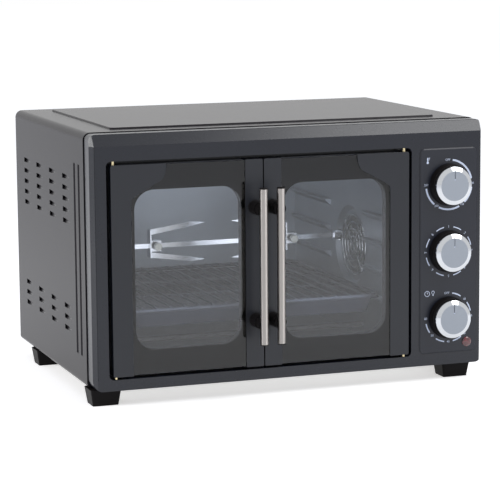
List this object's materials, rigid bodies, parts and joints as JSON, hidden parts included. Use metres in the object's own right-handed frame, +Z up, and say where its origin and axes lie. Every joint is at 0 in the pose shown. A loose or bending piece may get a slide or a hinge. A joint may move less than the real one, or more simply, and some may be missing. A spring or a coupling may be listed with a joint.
{
  "type": "countertop convection oven",
  "caption": "Countertop convection oven with two glass doors on vertical pins, dial knobs, a rotisserie, a fan, a rack and a tray.",
  "frame": {"origin": "middle of the overall box, on the surface that the feet stand on", "axes": "+X to the user's right, +Y from the doors to the back, +Z up"},
  "size_m": [0.51, 0.41, 0.3298],
  "materials": {
    "shell_paint": "satin powder coat",
    "frame_paint": "smooth semi-gloss paint",
    "panel_paint": "smooth semi-gloss paint with printed dials",
    "zinc_steel": "zinc-coated sheet, mill finish",
    "black_plastic": "fine-textured moulded plastic",
    "cavity_steel": "aluminised sheet, satin",
    "element_sheath": "oxidised tube",
    "ceramic": "unglazed ceramic",
    "chromed_wire": "chromed wire",
    "tray_enamel": "dark non-stick enamel",
    "fan_aluminium": "pressed sheet",
    "motor_steel": "laminated steel",
    "spit_steel": "polished steel",
    "screw_steel": "plated steel",
    "lamp_glass": "heat-proof glass",
    "switch_plastic": "moulded phenolic",
    "knob_chrome": "chrome rim round a satin face",
    "lens_red": "translucent red lens",
    "door_frame_paint": "black enamel",
    "door_glass": "tempered glass, lightly tinted",
    "door_trim": "fine satin",
    "handle_steel": "brushed along the bar",
    "pin_brass": "turned",
    "magnet_black": "moulded case",
    "dial_ink": "pale printing ink of the dials and pointers"
  },
  "bodies": {
    "root": {"outer_shell": "shell_paint", "front_frame": "frame_paint", "control_panel": "panel_paint", "rear_cover": "zinc_steel", "bottom_plate": "zinc_steel", "feet": "black_plastic", "cavity_flange": "cavity_steel", "cavity_roof": "cavity_steel", "cavity_floor": "cavity_steel", "cavity_back": "cavity_steel", "cavity_wall_left": "cavity_steel", "cavity_wall_right": "cavity_steel", "fan_drum": "zinc_steel", "upper_elements": "element_sheath", "lower_elements": "element_sheath", "element_insulators": "ceramic", "wire_rack": "chromed_wire", "baking_tray": "tray_enamel", "crumb_tray": "cavity_steel", "fan_guard": "chromed_wire", "fan_motor": "motor_steel", "spit_motor": "motor_steel", "spit_support": "spit_steel", "lamp_glass": "lamp_glass", "lamp_holder": "zinc_steel", "thermostat": "switch_plastic", "function_switch": "switch_plastic", "timer": "switch_plastic", "indicator_lens": "lens_red", "hinge_pins": "pin_brass", "door_magnets": "magnet_black", "cord_gland": "black_plastic", "cover_screws": "screw_steel"},
    "left_door": {"left_door_frame": "door_frame_paint", "left_door_glass": "door_glass", "left_door_stile": "door_trim", "left_hinge_trim": "door_trim", "left_handle_bar": "handle_steel", "left_handle_posts": "black_plastic", "left_handle_caps": "black_plastic"},
    "right_door": {"right_door_frame": "door_frame_paint", "right_door_glass": "door_glass", "right_door_stile": "door_trim", "right_hinge_trim": "door_trim", "right_handle_bar": "handle_steel", "right_handle_posts": "black_plastic", "right_handle_caps": "black_plastic"},
    "temperature_knob": {"temperature_skirt": "black_plastic", "temperature_cap": "knob_chrome"},
    "function_knob": {"function_skirt": "black_plastic", "function_cap": "knob_chrome"},
    "timer_knob": {"timer_skirt": "black_plastic", "timer_cap": "knob_chrome"},
    "spit": {"spit_rod": "spit_steel", "spit_fork_left": "spit_steel", "spit_fork_right": "spit_steel", "fork_screws": "screw_steel", "spit_coupling": "spit_steel"},
    "fan": {"fan": "fan_aluminium"}
  },
  "joints": [
    {"name": "left_door_hinge", "type": "hinge", "parent": "root", "child": "left_door", "pos_m": [-0.2261, -0.1634, 0.164], "axis": [0, 0, -1], "range_deg": [0, 105]},
    {"name": "right_door_hinge", "type": "hinge", "parent": "root", "child": "right_door", "pos_m": [0.1471, -0.1634, 0.164], "axis": [0, 0, 1], "range_deg": [0, 105]},
    {"name": "temperature_turn", "type": "hinge", "parent": "root", "child": "temperature_knob", "pos_m": [0.206, -0.167, 0.2478], "axis": [0, 1, 0], "range_deg": [0, 270]},
    {"name": "function_turn", "type": "hinge", "parent": "root", "child": "function_knob", "pos_m": [0.206, -0.167, 0.164], "axis": [0, 1, 0], "range_deg": [0, 315]},
    {"name": "timer_turn", "type": "hinge", "parent": "root", "child": "timer_knob", "pos_m": [0.206, -0.167, 0.0802], "axis": [0, 1, 0], "range_deg": [0, 270]},
    {"name": "spit_spin", "type": "hinge", "parent": "root", "child": "spit", "pos_m": [-0.0395, 0.022, 0.164], "axis": [1, 0, 0], "continuous": true},
    {"name": "fan_spin", "type": "hinge", "parent": "root", "child": "fan", "pos_m": [0.14, -0.026, 0.157], "axis": [1, 0, 0], "continuous": true}
  ]
}
